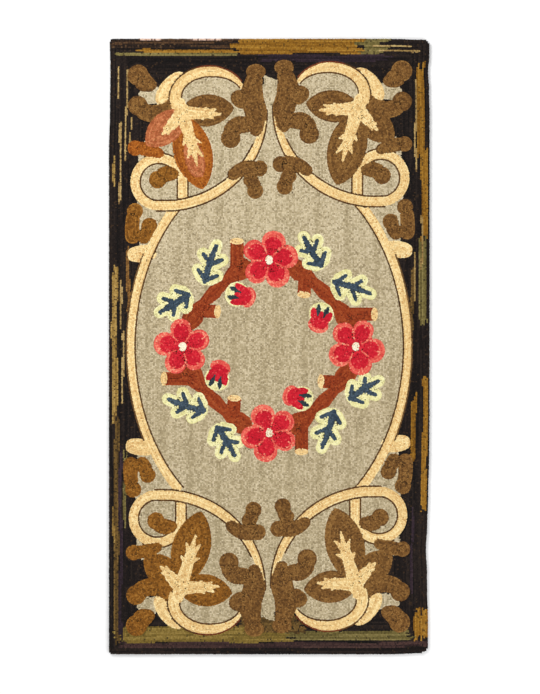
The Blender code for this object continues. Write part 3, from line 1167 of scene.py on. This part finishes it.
def mesh_object(name, corners, faces, material):
    """A smooth-shaded mesh object at the origin, from arrays."""
    mesh = bpy.data.meshes.new(name)
    mesh.vertices.add(len(corners))
    mesh.vertices.foreach_set("co", corners.ravel())
    sides = faces.shape[1]
    mesh.loops.add(faces.size)
    mesh.loops.foreach_set("vertex_index", faces.ravel())
    mesh.polygons.add(len(faces))
    mesh.polygons.foreach_set("loop_start", np.arange(0, faces.size, sides))
    mesh.polygons.foreach_set("use_smooth", np.ones(len(faces), bool))
    mesh.update(calc_edges=True)
    mesh.validate()
    mesh.materials.append(material)
    return linked(name, mesh)


def add_attribute(piece, name, values):
    """A number for every corner of a piece's mesh, for its material."""
    attribute = piece.data.attributes.new(name, "FLOAT", "POINT")
    attribute.data.foreach_set("value", np.asarray(values, np.float32))


def add_flat_map(piece, corners):
    """The piece's own map: its corners as seen from straight above, in a square round it."""
    low = corners[:, :2].min(axis=0)
    span = (corners[:, :2].max(axis=0) - low).max()
    layer = piece.data.uv_layers.new(name="OFBake")
    index = np.empty(len(piece.data.loops), np.int32)
    piece.data.loops.foreach_get("vertex_index", index)
    layer.uv.foreach_set("vector", (((corners[:, :2] - low) / span)[index]).ravel())


def ground_tone(places):
    """Slow change of the ground's tone: a rise past the wreath toward the upper end, less the
    product, where positive, of two sine waves across the rug that drift apart along it."""
    x, y = places.T
    most, start, reach = GROUND_LIFT
    broad, narrow, drift = GROUND_STREAK_LENGTHS
    lift = most * np.clip((y - start) / reach, 0.0, 1.0)
    streak = np.sin(x / broad + y / drift) * np.sin(x / narrow - y / drift)
    return lift - GROUND_STREAK_DEPTH * np.clip(streak, 0.0, 1.0)


def loop_piece(name, rows, material, height_range):
    """One joined mesh of loops, with a tone for each strip of wool, which changes slowly over the
    ground, and one for each loop."""
    corners, faces = pillow_mesh(rows, height_range)
    piece = mesh_object(name, corners, faces, material)
    strip = np.floor(rows.along / STRIP_LENGTH + chance(rows.row, 5.0))
    tone = chance(rows.row, strip) + ground_tone(rows.place) * (rows.patch == GROUND)
    add_attribute(piece, "strip", np.repeat(tone, BEAD_CORNERS))
    add_attribute(piece, "loop", np.repeat(noise.random(len(rows.place)), BEAD_CORNERS))
    add_flat_map(piece, corners)
    return piece


def loop_pieces(rows, wools):
    """Loops of each wool as joined meshes of at most MOST_LOOPS loops, from one end of the rug to
    the other."""
    pieces = []
    for wool in WOOLS:
        own = only(rows, wools == wool)
        count = len(own.place)
        if not count:
            continue
        own = only(own, np.argsort(own.place[:, 1], kind="stable"))
        parts = -(-count // MOST_LOOPS)
        for part in range(parts):
            share = slice(part * count // parts, (part + 1) * count // parts)
            name = f"loops_{wool}_{part + 1}"
            pieces.append(loop_piece(name, only(own, share), wool_material(wool), LOOP_TOPS))
    return pieces


# Burlap
def sheet_mesh():
    """Corners and faces of the burlap: the worn outline carried through a profile, from the middle
    of the top over the fold of the edge, under the hem and back to the middle of the underside.
    Each profile row is how far in from the outline, the height, and how far the ring is drawn
    toward the middle. A ring is the outline times one minus its inset over the rug's half width
    and half length, so that it can't fold over itself at a corner."""
    outline = evenly(np.vstack([worn_outline(), worn_outline()[:1]]), SHEET_STEP)[:-1]
    half = np.array([RUG_WIDTH, RUG_LENGTH]) / 2.0
    top, under = SHEET_TOP, SHEET_UNDER
    level, bend = FOLD_INSET + FOLD_REACH, FOLD_INSET + FOLD_EASE
    profile = [(INNER_INSET, top, scale) for scale in RING_SHARES]
    profile += [(inset, top, 1.0) for inset in (*LEVEL_INSETS, level)]
    profile += [(bend, top - FOLD_EASE, 1.0), (FOLD_INSET, top / 2.0, 1.0), (bend, FOLD_EASE, 1.0)]
    profile += [(inset, 0.0, 1.0) for inset in (level, LEVEL_INSETS[-1], HEM_WIDTH - HEM_TURN)]
    profile += [(HEM_WIDTH, under, 1.0)]
    profile += [(INNER_INSET, under, scale) for scale in RING_SHARES[::-1]]
    rings = [np.column_stack([outline * (1.0 - inset / half) * scale, np.full(len(outline), height)])
             for inset, height, scale in profile]
    corners = np.vstack(rings + [[(0.0, 0.0, top)], [(0.0, 0.0, under)]])
    around = np.arange(len(outline))
    following = np.roll(around, -1)
    quads = [np.stack([ring * len(outline) + around, (ring + 1) * len(outline) + around,
                       (ring + 1) * len(outline) + following, ring * len(outline) + following], axis=1)
             for ring in range(len(profile) - 1)]
    last = (len(profile) - 1) * len(outline)
    upper = [(len(corners) - 2, int(a), int(b)) for a, b in zip(around, following)]
    lower = [(len(corners) - 1, int(b) + last, int(a) + last) for a, b in zip(around, following)]
    return corners / PER_METRE, np.vstack(quads).tolist() + upper + lower


def sheet_piece():
    """The burlap with its hem turned under, as one closed sheet."""
    corners, faces = sheet_mesh()
    mesh = bpy.data.meshes.new("burlap")
    mesh.from_pydata(corners.tolist(), [], faces)
    mesh.validate()
    mesh.update()
    mesh.materials.append(burlap_material())
    mesh.shade_smooth()
    mesh.set_sharp_from_angle(angle=math.radians(SHARP_FOLD))
    return linked("burlap", mesh)


# Materials
def srgb(red, green, blue):
    """A screen colour, 0 to 255, as the linear colour that a shader takes."""
    share = np.array([red, green, blue]) / 255.0
    linear = np.where(share <= 0.04045, share / 12.92, ((share + 0.055) / 1.055) ** 2.4)
    return (*linear.tolist(), 1.0)


def set_inputs(node, values):
    """The node, with numbers and colours set on its inputs by name."""
    for name, value in values.items():
        node.inputs[name].default_value = value
    return node


def plain_material(name, finish):
    """A new material and its Principled shader, with the numbers of a finish."""
    material = bpy.data.materials.new(name)
    material.use_nodes = True
    return material, set_inputs(material.node_tree.nodes["Principled BSDF"], finish)


def maths(tree, operation, first, second, clamp=False):
    """A math node whose inputs are sockets or numbers."""
    node = tree.nodes.new("ShaderNodeMath")
    node.operation = operation
    node.use_clamp = clamp
    for socket, value in zip(node.inputs, (first, second)):
        if isinstance(value, (int, float)):
            socket.default_value = value
        else:
            tree.links.new(value, socket)
    return node.outputs[0]


def blended(tree, share, first, second):
    """A colour between two sockets."""
    node = tree.nodes.new("ShaderNodeMix")
    node.data_type = "RGBA"
    tree.links.new(share, node.inputs["Factor"])
    colours = [socket for socket in node.inputs if socket.type == "RGBA"]
    for socket, colour in zip(colours, (first, second)):
        tree.links.new(colour, socket)
    return next(socket for socket in node.outputs if socket.type == "RGBA")


def grained(tree, place, grain):
    """Fine noise over a piece, on its Object coordinates."""
    node = set_inputs(tree.nodes.new("ShaderNodeTexNoise"), dict(zip(("Scale", "Detail"), grain)))
    tree.links.new(place.outputs["Object"], node.inputs["Vector"])
    return node.outputs["Fac"]


def raised(tree, height, relief):
    """The normal of a surface that a height raises."""
    node = set_inputs(tree.nodes.new("ShaderNodeBump"), dict(zip(("Strength", "Distance"), relief)))
    tree.links.new(height, node.inputs["Height"])
    return node.outputs["Normal"]


def attribute_of(tree, name):
    """A number that the mesh gives to each of its corners."""
    node = tree.nodes.new("ShaderNodeAttribute")
    node.attribute_name = name
    return node.outputs["Fac"]


def strayed_by(tree, value, spread):
    """A number from 0 to 1, moved to lie round 0 and spread."""
    return maths(tree, "MULTIPLY", maths(tree, "SUBTRACT", value, 0.5), spread)


def dyed_wool_group():
    """Shared shader group of hooked wool. Each strip of wool has its own place between the dark,
    middle and light colours, each loop strays from it, and a share of the loops is flecks of
    another colour. Painted shade, with some settled soil, darkens the foot of a loop, where shade
    falls between the loops, and fine fibres break up the surface."""
    tree = bpy.data.node_groups.new("dyed_wool", "ShaderNodeTree")
    for kind, way, names in (("Color", "INPUT", ("Dark", "Middle", "Light", "Fleck")),
                             ("Float", "INPUT", ("Fleck Share", "Strip Spread", "Loop Spread")),
                             ("Color", "OUTPUT", ("Color",)), ("Float", "OUTPUT", ("Roughness",)),
                             ("Vector", "OUTPUT", ("Normal",))):
        for name in names:
            tree.interface.new_socket(name, in_out=way, socket_type="NodeSocket" + kind)
    given = tree.nodes.new("NodeGroupInput")
    result = tree.nodes.new("NodeGroupOutput")
    strip, loop = attribute_of(tree, "strip"), attribute_of(tree, "loop")
    place = tree.nodes.new("ShaderNodeTexCoord")
    fibre = grained(tree, place, FIBRE_GRAIN)

    strayed = maths(tree, "ADD", strayed_by(tree, strip, given.outputs["Strip Spread"]), 0.5)
    strayed = maths(tree, "ADD", strayed, strayed_by(tree, loop, given.outputs["Loop Spread"]))
    strayed = maths(tree, "ADD", strayed, strayed_by(tree, fibre, FIBRE_SHADE))
    lower = maths(tree, "MULTIPLY", strayed, 2.0, clamp=True)
    upper = maths(tree, "SUBTRACT", maths(tree, "MULTIPLY", strayed, 2.0), 1.0, clamp=True)
    colour = blended(tree, lower, given.outputs["Dark"], given.outputs["Middle"])
    colour = blended(tree, upper, colour, given.outputs["Light"])
    other = tree.nodes.new("ShaderNodeTexWhiteNoise")
    other.noise_dimensions = "1D"
    tree.links.new(loop, other.inputs["W"])
    is_fleck = maths(tree, "LESS_THAN", other.outputs["Value"], given.outputs["Fleck Share"])
    colour = blended(tree, is_fleck, colour, given.outputs["Fleck"])

    # Painted shade, with some settled soil: the colour is darkened toward the foot of each loop, where
    # shade falls between the loops
    height = tree.nodes.new("ShaderNodeSeparateXYZ")
    tree.links.new(place.outputs["Object"], height.inputs[0])
    soil_and_shade = set_inputs(tree.nodes.new("ShaderNodeMapRange"), SOIL_AND_SHADE)
    tree.links.new(height.outputs["Z"], soil_and_shade.inputs["Value"])
    scaled = tree.nodes.new("ShaderNodeVectorMath")
    scaled.operation = "SCALE"
    tree.links.new(colour, scaled.inputs[0])
    tree.links.new(soil_and_shade.outputs["Result"], scaled.inputs["Scale"])
    tree.links.new(scaled.outputs["Vector"], result.inputs["Color"])
    least, added = WOOL_ROUGHNESS
    tree.links.new(maths(tree, "ADD", maths(tree, "MULTIPLY", fibre, added), least),
                   result.inputs["Roughness"])
    tree.links.new(raised(tree, fibre, FIBRE_RELIEF), result.inputs["Normal"])
    return tree


def wool_material(name):
    """A wool of the WOOLS table, as a material made once."""
    if name in bpy.data.materials:
        return bpy.data.materials[name]
    wool = WOOLS[name]
    material, shader = plain_material(name, WOOL_FINISH)
    tree = material.node_tree
    dye = tree.nodes.new("ShaderNodeGroup")
    dye.node_tree = bpy.data.node_groups["dyed_wool"]
    set_inputs(dye, {"Dark": srgb(*wool.dark), "Middle": srgb(*wool.middle), "Light": srgb(*wool.light),
                     "Fleck": srgb(*wool.fleck), "Fleck Share": wool.fleck_share,
                     "Strip Spread": wool.strip_spread, "Loop Spread": wool.loop_spread})
    for output, socket in (("Color", "Base Color"), ("Roughness", "Roughness"), ("Normal", "Normal")):
        tree.links.new(dye.outputs[output], shader.inputs[socket])
    return material


def burlap_material():
    """Brown burlap in plain weave: two crossed sine waves of a thread's width raise the surface and
    shade the holes between threads."""
    material, shader = plain_material("burlap", BURLAP_FINISH)
    tree = material.node_tree
    place = tree.nodes.new("ShaderNodeTexCoord")
    split = tree.nodes.new("ShaderNodeSeparateXYZ")
    tree.links.new(place.outputs["Object"], split.inputs[0])
    waves = []
    for axis in ("X", "Y"):
        turn = maths(tree, "MULTIPLY", split.outputs[axis], 2.0 * math.pi / THREAD_PITCH)
        wave = maths(tree, "SINE", turn, 0.0)
        waves.append(maths(tree, "ABSOLUTE", wave, 0.0))
    weave = maths(tree, "MULTIPLY", waves[0], waves[1])
    ends = []
    for colour in BURLAP_COLOURS:
        node = tree.nodes.new("ShaderNodeRGB")
        node.outputs[0].default_value = srgb(*colour)
        ends.append(node.outputs[0])
    shares = [maths(tree, "MULTIPLY", value, share) for value, share
              in zip((weave, grained(tree, place, BURLAP_GRAIN)), BURLAP_SHARES)]
    share = maths(tree, "ADD", *shares, clamp=True)
    tree.links.new(blended(tree, share, *ends), shader.inputs["Base Color"])
    tree.links.new(raised(tree, weave, BURLAP_RELIEF), shader.inputs["Normal"])
    return material


# Floor, lights and camera
def build_floor():
    """A plain pale floor under the rug."""
    mesh = bpy.data.meshes.new("floor")
    corners = [(u * FLOOR_HALF, v * FLOOR_HALF, FLOOR_Z) for u, v in ((-1, -1), (1, -1), (1, 1), (-1, 1))]
    mesh.from_pydata(corners, [], [(0, 1, 2, 3)])
    mesh.materials.append(plain_material("floor", FLOOR_FINISH)[0])
    floor = linked("floor", mesh)


def area_light(name, place, power, size):
    """A soft square light that faces the middle of the rug."""
    light = bpy.data.lights.new(name, "AREA")
    light.energy = power
    light.size = size
    lamp = linked(name, light)
    lamp.location = place
    lamp.rotation_euler = (-mathutils.Vector(place)).to_track_quat("-Z", "Y").to_euler()
    lamp.visible_camera = False


def build_lights():
    """Even light from all round, and large soft lights of which the upper left one is stronger."""
    world = bpy.data.worlds.new("studio")
    world.use_nodes = True
    set_inputs(world.node_tree.nodes["Background"],
               {"Color": (1.0, 1.0, 1.0, 1.0), "Strength": WORLD_STRENGTH})
    bpy.context.scene.world = world
    area_light("key", KEY_PLACE, KEY_POWER, KEY_SIZE)
    area_light("fill", FILL_PLACE, FILL_POWER, FILL_SIZE)


def build_camera():
    """A long lens straight above the rug, its long side to the photo's height."""
    data = bpy.data.cameras.new("camera")
    data.lens = LENS
    data.sensor_width = SENSOR
    data.clip_end = CLIP_END
    camera = linked("camera", data)
    camera.location = CAMERA_PLACE
    bpy.context.scene.camera = camera
    bpy.context.scene.view_settings.view_transform = "Standard"
    bpy.context.scene.view_settings.look = "None"


# The rug
def build_rug():
    """The burlap with all its loops, in place of the plain solid."""
    patches = all_patches()
    chart = chart_of(patches)
    rows = rug_rows(patches, chart)
    dyed_wool_group()
    pieces = loop_pieces(rows, wools_of(rows, patches))
    burlap = sheet_piece()
    for piece in pieces + [burlap]:
        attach(piece, "root")
        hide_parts("rug")


build_rug()
build_floor()
build_lights()
build_camera()
